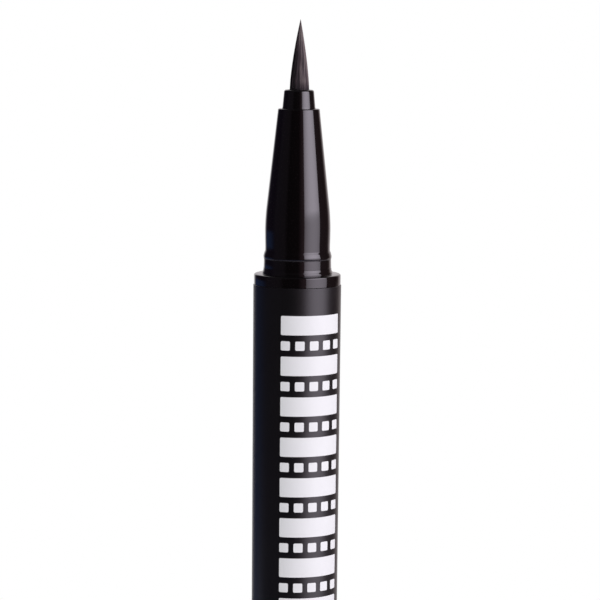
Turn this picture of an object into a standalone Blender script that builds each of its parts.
"""A liquid eyeliner pen with a brush tip, standing on its own cap, which is posted on the tail.

The pen is the direct ink kind: loose ink and a mixing ball in a tank, a finned collector that evens out the
pressure, and a feed rod that leads the ink to the root of the brush.

Heights in the pen are measured from the shoulder, which is the collar's flat top face, and are negative
below it. Heights in the cap are measured from its mouth, and are negative inside it, because the same mouth
meets the shoulder when the pen is closed and the tail flange when the cap is posted.
"""

import math

import bmesh
import bpy
from mathutils import Vector

MM = 0.001

# Gaps that the pieces share.
PRESS_GAP = 0.10 * MM  # radial, between turned pieces that are pressed together
SEAT_GAP = 0.15 * MM  # axial, between faces that rest on each other
SLIDE_GAP = 0.09 * MM  # radial, between the cap's liner and the neck's snap bead
WELD = 0.0005 * MM  # points nearer than this are one point

# Sides of the turned pieces. The pieces that show get the most.
SHELL_SIDES = 40
FITTING_SIDES = 32
INSIDE_SIDES = 24

# Barrel: a matt tube with a little draft, so that it is thinner at the tail.
BARREL_RADIUS = 5.50 * MM
BARREL_WALL = 1.00 * MM
BARREL_DRAFT = 0.25 * MM
BARREL_LENGTH = 95.0 * MM
BARREL_EDGE = 0.15 * MM

# Collar: the glossy flange between the barrel and the neck.
COLLAR_INSET = 0.07 * MM
COLLAR_HEIGHT = 1.20 * MM
COLLAR_EDGE = 0.18 * MM
COLLAR_SPIGOT_WALL = 0.55 * MM
COLLAR_SPIGOT_LENGTH = 7.70 * MM
LAND_PROUD = 0.20 * MM
LAND_HEIGHT = 0.60 * MM
LAND_BEVEL_WIDTH = 0.14 * MM
LAND_BEVEL_HEIGHT = 0.36 * MM

# Neck of the nose section, which the cap snaps on. The tail plug's stub has the same form.
NECK_DRAFT = 0.05 * MM
BEAD_PROUD = 0.06 * MM
BEAD_HEIGHT = 2.26 * MM
BEAD_HALF_WIDTH = 0.42 * MM
WAIST_DEPTH = 0.15 * MM
WAIST_HEIGHT = 3.00 * MM
CREST_RISE = 0.04 * MM

# Cone of the nose section.
CONE_FOOT = 6.95 * MM
CONE_BLEND = 1.35 * MM
NOSE_LENGTH = 20.60 * MM
NOSE_EDGE = 0.14 * MM
NOSE_MOUTH_WALL = 0.48 * MM
NOSE_MOUTH_BORE_LENGTH = 5.10 * MM
NOSE_TAIL_WALL = 0.65 * MM

# Brush holder: the small stepped ferrule that grips the root of the brush.
HOLDER_REACH = 2.35 * MM
HOLDER_WALL = 0.48 * MM
HOLDER_TAPER = 0.18 * MM
HOLDER_EDGE = 0.16 * MM
HOLDER_FLANGE_PROUD = 0.30 * MM
HOLDER_FLANGE_HEIGHT = 1.20 * MM
HOLDER_SOCKET_LENGTH = 6.80 * MM

# Brush: a bundle of tapered fibres that stand on a thin fused slice, and the fused root below it.
BRUSH_RADIUS = 1.20 * MM
BRUSH_LENGTH = 8.82 * MM
BRUSH_PLAY = 0.15 * MM  # between the bundle and the holder's bore, so that it can lean
BRUSH_SLICE = 0.25 * MM
BRUSH_SLICE_SUNK = 0.15 * MM
BRUSH_ROOT_DROP = 0.55 * MM  # the root's top lies this far inside the holder's mouth
ROOT_SOCKET_DEPTH = 2.00 * MM
STRAND_GAP = 0.024 * MM
STRAND_SECTORS = 6  # the bundle's sections, each of which is divided into triangular cells
STRAND_STEPS = 8  # cells along one side of a sector
BELLY_SHARE = 0.52  # where the bundle's outline turns, as a share of its length
BELLY_RADIUS_SHARE = 0.615  # how thick it still is there, as a share of its base
TIP_STAGGER_SHARE = 0.22  # how much shorter the outermost fibres are

# Feed rod and collector.
ROD_RADIUS = 0.75 * MM
ROD_POINT = 0.90 * MM
ROD_REACH = 3.40 * MM  # how far the rod stands out of the collector's stem, into the tank
STEM_WALL = 0.75 * MM
STEM_REACH = 1.75 * MM  # how far the stem stands out of the tank plug
FIN_COUNT = 12
FIN_THICKNESS = 0.55 * MM
FIN_TOP = 5.50 * MM
FIN_ROOM = 0.65 * MM  # between the lowest fin and the tank plug

# Ink tank, its plug and the mixing ball.
TANK_WALL = 0.55 * MM
TANK_FLOOR = 0.80 * MM
TANK_PLUG_FLANGE = 0.80 * MM
TANK_PLUG_LENGTH = 5.00 * MM
BALL_RADIUS = 2.50 * MM
BALL_RINGS = 10

# Tail plug.
TAIL_FLANGE_HEIGHT = 1.20 * MM
TAIL_FLANGE_EDGE = 0.15 * MM
TAIL_INSERT_LENGTH = 8.00 * MM
TAIL_INSERT_WALL = 0.80 * MM
TAIL_FLOOR = 1.40 * MM
STUB_LENGTH = 5.50 * MM
STUB_CHAMFER = 0.35 * MM

# Cap: a matt shell with a plain liner pressed into it.
CAP_WALL = 0.65 * MM
CAP_END_WALL = 1.40 * MM
CAP_DRAFT = 0.15 * MM
CAP_MOUTH_EDGE = 0.12 * MM
CAP_END_ROUND = 0.90 * MM
LINER_WALL = 0.40 * MM
LINER_FLOOR = 0.80 * MM
LINER_LEAD_IN = 0.25 * MM
LINER_GRIP_LENGTH = 5.80 * MM
LINER_STEP = 0.80 * MM  # radial, from the grip bore in to the room for the brush
LINER_ROOM_WALL = 0.70 * MM
TIP_ROOM = 3.93 * MM  # between the brush and the liner's floor in the closed pen

# Radii of the tail half, worked out from the barrel inwards.
barrel_bore = BARREL_RADIUS - BARREL_WALL
tail_radius = BARREL_RADIUS - BARREL_DRAFT
insert_radius = barrel_bore - PRESS_GAP
collar_radius = BARREL_RADIUS - COLLAR_INSET
collar_bore = insert_radius - COLLAR_SPIGOT_WALL
nose_tail_radius = collar_bore - PRESS_GAP
nose_bore = nose_tail_radius - NOSE_TAIL_WALL
fin_radius = nose_bore - PRESS_GAP
tank_bore = insert_radius - TANK_WALL

# Radii of the cap and of the neck that it fits.
cap_bore = BARREL_RADIUS - CAP_WALL
liner_radius = cap_bore - PRESS_GAP
liner_bore = liner_radius - LINER_WALL
room_radius = liner_bore - LINER_STEP
neck_radius = liner_bore - SLIDE_GAP - BEAD_PROUD
land_radius = neck_radius + LAND_PROUD
waist_radius = neck_radius - WAIST_DEPTH
crest_radius = waist_radius + CREST_RISE

# Radii of the front, worked out from the brush outwards.
holder_bore = BRUSH_RADIUS + BRUSH_PLAY
root_radius = holder_bore - PRESS_GAP
holder_tip_radius = holder_bore + HOLDER_WALL
holder_radius = holder_tip_radius + HOLDER_TAPER
holder_flange_radius = holder_radius + HOLDER_FLANGE_PROUD
nose_mouth_bore = holder_radius + PRESS_GAP
nose_chamber = holder_flange_radius + PRESS_GAP
nose_tip_radius = nose_mouth_bore + NOSE_MOUTH_WALL
rod_bore = ROD_RADIUS + PRESS_GAP
stem_radius = rod_bore + STEM_WALL
stem_bore = stem_radius + PRESS_GAP

# Heights in the pen, from the shoulder.
barrel_top = -COLLAR_HEIGHT - SEAT_GAP
barrel_tail = barrel_top - BARREL_LENGTH
collar_spigot_end = -COLLAR_HEIGHT - COLLAR_SPIGOT_LENGTH
neck_foot = LAND_HEIGHT + SEAT_GAP
holder_seat = NOSE_LENGTH - NOSE_MOUTH_BORE_LENGTH
holder_flange_top = holder_seat - SEAT_GAP
holder_flange_foot = holder_flange_top - HOLDER_FLANGE_HEIGHT
holder_mouth = NOSE_LENGTH + HOLDER_REACH
socket_floor = holder_mouth - HOLDER_SOCKET_LENGTH
root_foot = socket_floor + SEAT_GAP
root_top = holder_mouth - BRUSH_ROOT_DROP
brush_tip_height = holder_mouth + BRUSH_LENGTH
rod_tip = root_foot + ROOT_SOCKET_DEPTH - SEAT_GAP
stem_top = holder_flange_foot - SEAT_GAP
tank_plug_top = collar_spigot_end - SEAT_GAP
tank_plug_step = tank_plug_top - TANK_PLUG_FLANGE
tank_plug_foot = tank_plug_step - TANK_PLUG_LENGTH
tank_top = tank_plug_step - SEAT_GAP
fin_foot = tank_plug_top + FIN_ROOM
stem_foot = tank_plug_foot - STEM_REACH
rod_foot = stem_foot - ROD_REACH
tail_flange_top = barrel_tail - SEAT_GAP
tail_flange_foot = tail_flange_top - TAIL_FLANGE_HEIGHT
tail_insert_top = tail_flange_top + TAIL_INSERT_LENGTH
tail_hollow_floor = tail_flange_foot + TAIL_FLOOR
stub_end = tail_flange_foot - STUB_LENGTH
tank_foot = tail_insert_top + SEAT_GAP
ball_height = tank_foot + TANK_FLOOR + SEAT_GAP + BALL_RADIUS
ball_travel = rod_foot - SEAT_GAP - BALL_RADIUS - ball_height

# Heights in the cap, from its mouth.
liner_top = -LAND_HEIGHT - SEAT_GAP
room_floor = -brush_tip_height - TIP_ROOM
liner_foot = room_floor - LINER_FLOOR
cap_floor = liner_foot - SEAT_GAP
cap_end = cap_floor - CAP_END_WALL

# Where the two frames stand in the world, with the cap's end on the ground.
mouth_above_ground = -cap_end
shoulder_above_ground = mouth_above_ground + SEAT_GAP - tail_flange_foot


def cone_radius(height):
    """The nose cone's radius at a height, along its straight flank."""
    share = (height - CONE_FOOT) / (NOSE_LENGTH - CONE_FOOT)
    return crest_radius + share * (nose_tip_radius - crest_radius)


def height_on_cone(radius):
    """The height at which the nose cone has that radius."""
    share = (radius - crest_radius) / (nose_tip_radius - crest_radius)
    return CONE_FOOT + share * (NOSE_LENGTH - CONE_FOOT)


def arc(centre, radius, start, end, steps=3):
    """Points of an arc in the section. Angles are in degrees, with 0 outwards and 90 upwards."""
    angles = [math.radians(start + (end - start) * i / steps) for i in range(steps + 1)]
    return [(centre[0] + radius * math.cos(a), centre[1] + radius * math.sin(a)) for a in angles]


def blend(first, corner, last, steps=4):
    """Points of a smooth curve from first to last that rounds off the corner between them."""
    first, corner, last = Vector(first), Vector(corner), Vector(last)
    points = []
    for i in range(steps + 1):
        t = i / steps
        points.append(tuple(first * (1 - t) ** 2 + corner * (2 * t * (1 - t)) + last * t * t))
    return points


def snap_bead(foot_radius, head_radius, height, upwards=1):
    """The rounded bead that the cap snaps over, foot to head. With upwards -1 it is the tail stub's."""
    crest = foot_radius + BEAD_PROUD
    foot = (foot_radius, height - upwards * BEAD_HALF_WIDTH)
    head = (head_radius, height + upwards * BEAD_HALF_WIDTH)
    top = (crest, height)
    lower_corner = (crest, height - upwards * BEAD_HALF_WIDTH / 2)
    upper_corner = (crest, height + upwards * BEAD_HALF_WIDTH / 2)
    return blend(foot, lower_corner, top, 2) + blend(top, upper_corner, head, 3)[1:]


def finish(name, mesh, material, parent, place=(0, 0, 0)):
    """Makes an object of the mesh, shades it and hangs it on its frame."""
    data = bpy.data.meshes.new(name)
    mesh.to_mesh(data)
    mesh.free()
    data.materials.append(material)
    data.shade_smooth()
    data.set_sharp_from_angle(angle=math.radians(30))
    piece = bpy.data.objects.new(name, data)
    bpy.context.scene.collection.objects.link(piece)
    piece.parent = parent
    piece.location = place
    return piece


def turned(name, outline, sides, material, parent):
    """A solid of revolution. The outline's (radius, height) points run round its section. One that starts on
    the axis ends on it too."""
    mesh = bmesh.new()
    points = [mesh.verts.new((radius, 0, height)) for radius, height in outline]
    loop = points if outline[0][0] == 0 else points + points[:1]
    edges = [mesh.edges.new(pair) for pair in zip(loop, loop[1:])]
    bmesh.ops.spin(
        mesh,
        geom=points + edges,
        cent=(0, 0, 0),
        axis=(0, 0, 1),
        angle=math.tau,
        steps=sides,
        use_merge=True,
    )
    bmesh.ops.remove_doubles(mesh, verts=mesh.verts, dist=WELD)
    bmesh.ops.recalc_face_normals(mesh, faces=mesh.faces)
    return finish(name, mesh, material, parent)


def finish_of(name, colour, roughness, metallic=0.0):
    """A plain material with the piece's colour and gloss."""
    material = bpy.data.materials.new(name)
    material.use_nodes = True
    shader = material.node_tree.nodes["Principled BSDF"]
    shader.inputs["Base Color"].default_value = (*colour, 1)
    shader.inputs["Roughness"].default_value = roughness
    shader.inputs["Metallic"].default_value = metallic
    return material


def frame(name, height, parent=None):
    """An empty on the pen's axis that a moving body hangs on."""
    empty = bpy.data.objects.new(name, None)
    bpy.context.scene.collection.objects.link(empty)
    empty.parent = parent
    empty.location = (0, 0, height)
    return empty


def cap_shell(material, parent):
    """The matt outer cap: a drawn cup with a rounded closed end."""
    end_radius = BARREL_RADIUS - CAP_DRAFT
    outline = [
        (0, cap_end),
        *arc((end_radius - CAP_END_ROUND, cap_end + CAP_END_ROUND), CAP_END_ROUND, -90, 0, 4),
        (BARREL_RADIUS, -CAP_MOUTH_EDGE),
        (BARREL_RADIUS - CAP_MOUTH_EDGE, 0),
        (cap_bore, 0),
        (cap_bore, cap_floor),
        (0, cap_floor),
    ]
    return turned("cap_shell", outline, SHELL_SIDES, material, parent)


def inner_cap(material, parent):
    """The liner: a grip bore for the neck, a seal cone that follows the nose, and a room for the brush."""
    room_top = -height_on_cone(room_radius - SLIDE_GAP)
    outer_room = room_radius + LINER_ROOM_WALL
    outline = [
        (0, liner_foot),
        (outer_room, liner_foot),
        (outer_room, room_top),
        (liner_radius, liner_top - LINER_GRIP_LENGTH),
        (liner_radius, liner_top),
        (liner_bore + LINER_LEAD_IN, liner_top),
        (liner_bore, liner_top - LINER_LEAD_IN),
        (liner_bore, liner_top - LINER_GRIP_LENGTH),
        (room_radius, room_top),
        (room_radius, room_floor),
        (0, room_floor),
    ]
    return turned("inner_cap", outline, INSIDE_SIDES, material, parent)


def tail_plug(material, parent):
    """Closes the barrel: a hollow insert, a flange in line with the barrel, and a stub to post the cap on."""
    hollow = insert_radius - TAIL_INSERT_WALL
    edge_radius = tail_radius - TAIL_FLANGE_EDGE
    outline = [
        (0, stub_end),
        (neck_radius - STUB_CHAMFER, stub_end),
        (neck_radius, stub_end + STUB_CHAMFER),
        *reversed(snap_bead(neck_radius, neck_radius, tail_flange_foot - BEAD_HEIGHT, -1)),
        (neck_radius, tail_flange_foot),
        *arc((edge_radius, tail_flange_foot + TAIL_FLANGE_EDGE), TAIL_FLANGE_EDGE, -90, 0, 2),
        (tail_radius, tail_flange_top),
        (insert_radius, tail_flange_top),
        (insert_radius, tail_insert_top),
        (hollow, tail_insert_top),
        (hollow, tail_hollow_floor),
        (0, tail_hollow_floor),
    ]
    return turned("tail_plug", outline, FITTING_SIDES, material, parent)


def barrel(material, parent):
    """The matt tube that is held in the hand."""
    top_edge = (BARREL_RADIUS - BARREL_EDGE, barrel_top - BARREL_EDGE)
    outline = [
        (barrel_bore, barrel_tail),
        (tail_radius, barrel_tail),
        *arc(top_edge, BARREL_EDGE, 0, 90, 3),
        (barrel_bore, barrel_top),
    ]
    return turned("barrel", outline, SHELL_SIDES, material, parent)


def collar(material, parent):
    """The glossy flange, with a low bevelled land round the neck and a spigot in the barrel."""
    edge = (collar_radius - COLLAR_EDGE, -COLLAR_EDGE)
    outline = [
        (collar_bore, collar_spigot_end),
        (insert_radius, collar_spigot_end),
        (insert_radius, -COLLAR_HEIGHT),
        (collar_radius, -COLLAR_HEIGHT),
        *arc(edge, COLLAR_EDGE, 0, 90, 3),
        (land_radius, 0),
        (land_radius, LAND_HEIGHT - LAND_BEVEL_HEIGHT),
        (land_radius - LAND_BEVEL_WIDTH, LAND_HEIGHT),
        (collar_bore, LAND_HEIGHT),
    ]
    return turned("collar", outline, SHELL_SIDES, material, parent)


def nose_section(material, parent):
    """The glossy neck and cone in one: a snap bead, a slight waist and a long straight taper."""
    crest_end = (crest_radius, CONE_FOOT - CONE_BLEND)
    cone_start = (cone_radius(CONE_FOOT + CONE_BLEND), CONE_FOOT + CONE_BLEND)
    tip_edge = (nose_tip_radius - NOSE_EDGE, NOSE_LENGTH - NOSE_EDGE)
    outline = [
        (nose_bore, collar_spigot_end),
        (nose_tail_radius, collar_spigot_end),
        (nose_tail_radius, neck_foot),
        (neck_radius + NECK_DRAFT, neck_foot),
        *snap_bead(neck_radius, waist_radius, BEAD_HEIGHT),
        (waist_radius, WAIST_HEIGHT),
        *blend(crest_end, (crest_radius, CONE_FOOT), cone_start),
        *arc(tip_edge, NOSE_EDGE, 0, 90, 3),
        (nose_mouth_bore, NOSE_LENGTH),
        (nose_mouth_bore, holder_seat),
        (nose_chamber, holder_seat),
        (nose_chamber, holder_flange_foot),
        (nose_bore, FIN_TOP + SEAT_GAP),
    ]
    return turned("nose_section", outline, SHELL_SIDES, material, parent)


def brush_holder(material, parent):
    """The stepped ferrule: its flange seats inside the nose, and its tapered end stands out of it."""
    mouth_edge = (holder_tip_radius - HOLDER_EDGE, holder_mouth - HOLDER_EDGE)
    outline = [
        (rod_bore, holder_flange_foot),
        (holder_flange_radius, holder_flange_foot),
        (holder_flange_radius, holder_flange_top),
        (holder_radius, holder_flange_top),
        (holder_radius, NOSE_LENGTH),
        *arc(mouth_edge, HOLDER_EDGE, 0, 90, 3),
        (holder_bore, holder_mouth),
        (holder_bore, socket_floor),
        (rod_bore, socket_floor),
    ]
    return turned("brush_holder", outline, FITTING_SIDES, material, parent)


def brush_root(material, parent):
    """The fused root of the brush, with a socket for the tip of the feed rod."""
    outline = [
        (0, root_top),
        (root_radius, root_top),
        (root_radius, root_foot),
        (rod_bore, root_foot),
        (rod_bore, root_foot + ROOT_SOCKET_DEPTH),
        (0, root_foot + ROOT_SOCKET_DEPTH),
    ]
    return turned("brush_root", outline, INSIDE_SIDES, material, parent)


def round_off(mesh):
    """Pushes the bundle's six-sided outline out to a circle, each ring of cells by the same rule."""
    for vert in mesh.verts:
        flat = vert.co.xy
        if flat.length > WELD:
            half_side = math.pi / STRAND_SECTORS
            off_middle = (math.atan2(flat.y, flat.x) + half_side) % (2 * half_side) - half_side
            vert.co.xy = flat * (math.cos(off_middle) / math.cos(half_side))


def brush_tip(material, parent):
    """The free fibres. A disc is divided into triangular cells, and each cell is drawn up into one fibre
    that narrows to a point. All fibres close in on the axis by the same rule, so none can cross."""
    base = BRUSH_SLICE - BRUSH_SLICE_SUNK
    belly = base + BELLY_SHARE * (BRUSH_LENGTH - base)
    mesh = bmesh.new()
    bmesh.ops.create_circle(
        mesh, cap_ends=True, cap_tris=True, segments=STRAND_SECTORS, radius=BRUSH_RADIUS
    )
    bmesh.ops.subdivide_edges(mesh, edges=mesh.edges, cuts=STRAND_STEPS - 1, use_grid_fill=True)
    round_off(mesh)
    bmesh.ops.translate(mesh, verts=mesh.verts, vec=(0, 0, base))
    cells = list(mesh.faces)
    rim = [edge for edge in mesh.edges if edge.is_boundary]
    skirt = bmesh.ops.extrude_edge_only(mesh, edges=rim)["geom"]
    lower_rim = [item for item in skirt if isinstance(item, bmesh.types.BMVert)]
    bmesh.ops.translate(mesh, verts=lower_rim, vec=(0, 0, -BRUSH_SLICE))
    open_rim = [edge for edge in mesh.edges if edge.is_boundary]
    bmesh.ops.holes_fill(mesh, edges=open_rim, sides=0)
    bmesh.ops.recalc_face_normals(mesh, faces=mesh.faces)

    bmesh.ops.inset_individual(mesh, faces=cells, thickness=STRAND_GAP / 2, use_even_offset=True)
    drawn = bmesh.ops.extrude_discrete_faces(mesh, faces=cells)["faces"]
    for vert in {vert for face in drawn for vert in face.verts}:
        vert.co.xy *= BELLY_RADIUS_SHARE
        vert.co.z = belly
    for tip in bmesh.ops.poke(mesh, faces=drawn)["verts"]:
        out_share = tip.co.xy.length / (BRUSH_RADIUS * BELLY_RADIUS_SHARE)
        rise_share = 1 - TIP_STAGGER_SHARE * out_share
        tip.co.xy *= 1 - rise_share
        tip.co.z = belly + rise_share * (BRUSH_LENGTH - belly)
    return finish("brush_tip", mesh, material, parent)


def feed_rod(material, parent):
    """The fibre rod that draws ink out of the tank and ends in a point in the brush root."""
    outline = [
        (0, rod_foot),
        (ROD_RADIUS, rod_foot),
        (ROD_RADIUS, rod_tip - ROD_POINT),
        (ROD_RADIUS / 2, rod_tip),
        (0, rod_tip),
    ]
    return turned("feed_rod", outline, INSIDE_SIDES // 2, material, parent)


def collector(material, parent):
    """The finned buffer that takes up ink when the tank warms: a bored stem with a stack of equal fins."""
    pitch = (FIN_TOP - fin_foot - FIN_THICKNESS) / (FIN_COUNT - 1)
    outline = [(rod_bore, stem_foot), (stem_radius, stem_foot)]
    for i in range(FIN_COUNT):
        foot = fin_foot + i * pitch
        head = foot + FIN_THICKNESS
        outline += [(stem_radius, foot), (fin_radius, foot), (fin_radius, head), (stem_radius, head)]
    outline += [(stem_radius, stem_top), (rod_bore, stem_top)]
    return turned("ink_collector", outline, INSIDE_SIDES, material, parent)


def tank_plug(material, parent):
    """Stops the tank's mouth round the collector's stem, with a flange on the tank's rim."""
    plug_radius = tank_bore - PRESS_GAP
    outline = [
        (stem_bore, tank_plug_foot),
        (plug_radius, tank_plug_foot),
        (plug_radius, tank_plug_step),
        (insert_radius, tank_plug_step),
        (insert_radius, tank_plug_top),
        (stem_bore, tank_plug_top),
    ]
    return turned("tank_plug", outline, INSIDE_SIDES, material, parent)


def ink_tank(material, parent):
    """The inner tube that holds the ink, closed at the tail."""
    outline = [
        (0, tank_foot),
        (insert_radius, tank_foot),
        (insert_radius, tank_top),
        (tank_bore, tank_top),
        (tank_bore, tank_foot + TANK_FLOOR),
        (0, tank_foot + TANK_FLOOR),
    ]
    return turned("ink_tank", outline, INSIDE_SIDES, material, parent)


def mixing_ball(material, parent):
    """The steel ball that stirs the ink when the pen is shaken."""
    mesh = bmesh.new()
    bmesh.ops.create_uvsphere(mesh, u_segments=2 * BALL_RINGS, v_segments=BALL_RINGS, radius=BALL_RADIUS)
    return finish("mixing_ball", mesh, material, parent)


def main():
    for old in list(bpy.data.objects):
        bpy.data.objects.remove(old)

    matt_black = finish_of("matt_black", (0.008, 0.0075, 0.010), 0.38)
    gloss_black = finish_of("gloss_black", (0.004, 0.0035, 0.004), 0.08)
    dark_fibre = finish_of("dark_fibre", (0.045, 0.034, 0.037), 0.45)
    clear_white = finish_of("liner_plastic", (0.72, 0.72, 0.70), 0.35)
    rod_fibre = finish_of("rod_fibre", (0.10, 0.08, 0.08), 0.80)
    steel = finish_of("steel", (0.60, 0.60, 0.61), 0.20, 1.0)

    cap_frame = frame("cap_frame", mouth_above_ground)
    pen_frame = frame("pen_frame", shoulder_above_ground)
    ball_frame = frame("ball_frame", ball_height, pen_frame)
    brush_frame = frame("brush_frame", holder_mouth, pen_frame)

    cap_shell(matt_black, cap_frame)
    inner_cap(clear_white, cap_frame)

    tail_plug(gloss_black, pen_frame)
    barrel(matt_black, pen_frame)
    collar(gloss_black, pen_frame)
    nose_section(gloss_black, pen_frame)
    brush_holder(gloss_black, pen_frame)
    brush_root(dark_fibre, pen_frame)
    feed_rod(rod_fibre, pen_frame)
    collector(clear_white, pen_frame)
    tank_plug(clear_white, pen_frame)
    ink_tank(clear_white, pen_frame)

    mixing_ball(steel, ball_frame)
    brush_tip(dark_fibre, brush_frame)

    print(f"height {(shoulder_above_ground + brush_tip_height) / MM:.2f} mm")
    print(f"cap mouth {mouth_above_ground / MM:.2f} mm, shoulder {shoulder_above_ground / MM:.2f} mm")
    print(f"ball at {(shoulder_above_ground + ball_height) / MM:.2f} mm, travel {ball_travel / MM:.2f} mm")
    print(f"brush pivot {(shoulder_above_ground + holder_mouth) / MM:.2f} mm")


main()
